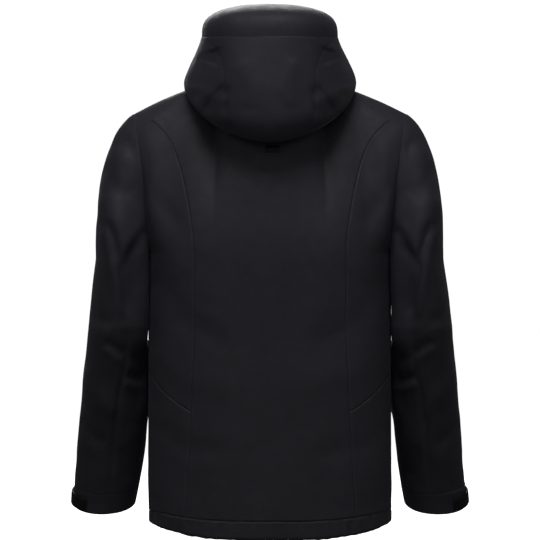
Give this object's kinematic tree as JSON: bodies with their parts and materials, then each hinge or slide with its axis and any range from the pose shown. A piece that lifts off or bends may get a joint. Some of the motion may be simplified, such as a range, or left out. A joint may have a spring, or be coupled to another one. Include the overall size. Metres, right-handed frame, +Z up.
{
  "type": "hardshell jacket",
  "caption": "Hooded waterproof shell jacket with panelled body, set-in sleeves, stand-up collar inside the hood, front zip, hand pockets, cuff tabs and a dropped drawcord hem.",
  "frame": {"origin": "centre back of the neck seam", "axes": "+Z up as worn, the wearer faces -Y, +X is the wearer's left"},
  "size_m": [0.7008, 0.3211, 0.923],
  "materials": {
    "shell_cloth": "matte laminated shell cloth",
    "trim_cloth": "matte",
    "lining_cloth": "fine knit",
    "zip_tape": "woven",
    "hard_plastic": "moulded",
    "metal": "black coated"
  },
  "bodies": {
    "torso": {"back_panel": "shell_cloth", "collar": "shell_cloth", "chin_guard": "lining_cloth", "hang_loop": "zip_tape", "hem_band": "shell_cloth", "hem_drawcord": "zip_tape", "zip_bottom_box": "metal", "storm_flap": "lining_cloth", "hood_adjuster_tab": "hard_plastic", "back_side_panel_left": "shell_cloth", "back_side_panel_right": "shell_cloth", "side_panel_left": "shell_cloth", "side_panel_right": "shell_cloth", "front_panel_left": "shell_cloth", "front_panel_right": "shell_cloth", "shoulder_yoke_left": "shell_cloth", "shoulder_yoke_right": "shell_cloth", "hem_cord_lock_left": "hard_plastic", "hem_cord_lock_right": "hard_plastic", "main_zip_tape_left": "zip_tape", "main_zip_tape_right": "zip_tape", "pocket_zip_tape_left": "zip_tape", "pocket_zip_tape_right": "zip_tape", "pocket_bag_left": "lining_cloth", "pocket_bag_right": "lining_cloth"},
    "hood": {"hood_neck": "shell_cloth", "hood_center_back": "shell_cloth", "hood_crown": "shell_cloth", "hood_brim": "shell_cloth", "hood_side_left": "shell_cloth", "hood_side_right": "shell_cloth", "hood_face_binding_left": "trim_cloth", "hood_face_binding_right": "trim_cloth"},
    "main_slider": {"main_zip_slider": "metal"},
    "main_pull": {"main_zip_pull": "hard_plastic"},
    "sleeve_left": {"sleeve_head_left": "shell_cloth", "upper_sleeve_left": "shell_cloth"},
    "forearm_left": {"elbow_panel_left": "shell_cloth", "forearm_sleeve_left": "shell_cloth", "cuff_band_left": "shell_cloth", "cuff_loop_patch_left": "trim_cloth"},
    "cuff_tab_left": {"cuff_tab_left": "hard_plastic", "cuff_hook_patch_left": "trim_cloth"},
    "pocket_slider_left": {"pocket_zip_slider_left": "metal"},
    "pocket_pull_left": {"pocket_zip_pull_left": "hard_plastic"},
    "cord_plunger_left": {"cord_lock_plunger_left": "hard_plastic"},
    "sleeve_right": {"sleeve_head_right": "shell_cloth", "upper_sleeve_right": "shell_cloth"},
    "forearm_right": {"elbow_panel_right": "shell_cloth", "forearm_sleeve_right": "shell_cloth", "cuff_band_right": "shell_cloth", "cuff_loop_patch_right": "trim_cloth"},
    "cuff_tab_right": {"cuff_tab_right": "hard_plastic", "cuff_hook_patch_right": "trim_cloth"},
    "pocket_slider_right": {"pocket_zip_slider_right": "metal"},
    "pocket_pull_right": {"pocket_zip_pull_right": "hard_plastic"},
    "cord_plunger_right": {"cord_lock_plunger_right": "hard_plastic"}
  },
  "joints": [
    {"name": "shoulder_left", "type": "hinge", "parent": "torso", "child": "sleeve_left", "pos_m": [0.225, -0.075, -0.16], "axis": [0, -1, 0], "range_deg": [0, 60], "deforming": ["sleeve_head_left"]},
    {"name": "elbow_left", "type": "hinge", "parent": "sleeve_left", "child": "forearm_left", "pos_m": [0.265, -0.08, -0.4], "axis": [-1, 0, 0], "range_deg": [0, 80], "deforming": ["elbow_panel_left"]},
    {"name": "cuff_tab_peel_left", "type": "hinge", "parent": "forearm_left", "child": "cuff_tab_left", "pos_m": [0.3158, -0.1885, -0.681], "axis": [0, 0, -1], "range_deg": [0, 70]},
    {"name": "pocket_zip_run_left", "type": "slide", "parent": "torso", "child": "pocket_slider_left", "axis": [0, -0.0587, -0.9983], "range_m": [0, 0.145]},
    {"name": "pocket_pull_swing_left", "type": "hinge", "parent": "pocket_slider_left", "child": "pocket_pull_left", "pos_m": [0.18208, -0.16259, -0.43169], "axis": [-0.7535, -0.6563, 0.0386], "range_deg": [0, 110]},
    {"name": "cord_lock_press_left", "type": "slide", "parent": "torso", "child": "cord_plunger_left", "axis": [0, 0, -1], "range_m": [0, 0.0035], "stiffness_N_per_m": 300, "springref_m": -0.003},
    {"name": "shoulder_right", "type": "hinge", "parent": "torso", "child": "sleeve_right", "pos_m": [-0.225, -0.075, -0.16], "axis": [0, 1, 0], "range_deg": [0, 60], "deforming": ["sleeve_head_right"]},
    {"name": "elbow_right", "type": "hinge", "parent": "sleeve_right", "child": "forearm_right", "pos_m": [-0.265, -0.08, -0.4], "axis": [-1, 0, 0], "range_deg": [0, 80], "deforming": ["elbow_panel_right"]},
    {"name": "cuff_tab_peel_right", "type": "hinge", "parent": "forearm_right", "child": "cuff_tab_right", "pos_m": [-0.3158, -0.1885, -0.681], "axis": [0, 0, 1], "range_deg": [0, 70]},
    {"name": "pocket_zip_run_right", "type": "slide", "parent": "torso", "child": "pocket_slider_right", "axis": [0, -0.0587, -0.9983], "range_m": [0, 0.145]},
    {"name": "pocket_pull_swing_right", "type": "hinge", "parent": "pocket_slider_right", "child": "pocket_pull_right", "pos_m": [-0.18208, -0.16259, -0.43169], "axis": [-0.7535, 0.6563, -0.0386], "range_deg": [0, 110]},
    {"name": "cord_lock_press_right", "type": "slide", "parent": "torso", "child": "cord_plunger_right", "axis": [0, 0, -1], "range_m": [0, 0.0035], "stiffness_N_per_m": 300, "springref_m": -0.003},
    {"name": "hood_tip", "type": "hinge", "parent": "torso", "child": "hood", "pos_m": [0, 0.02, 0.02], "axis": [-1, 0, 0], "range_deg": [0, 40], "deforming": ["hood_neck"]},
    {"name": "main_zip_run", "type": "slide", "parent": "torso", "child": "main_slider", "axis": [0, -0.0896, -0.996], "range_m": [0, 0.685]},
    {"name": "main_pull_swing", "type": "hinge", "parent": "main_slider", "child": "main_pull", "pos_m": [0, -0.16563, 0.01043], "axis": [-1, 0, 0], "range_deg": [0, 120]}
  ]
}
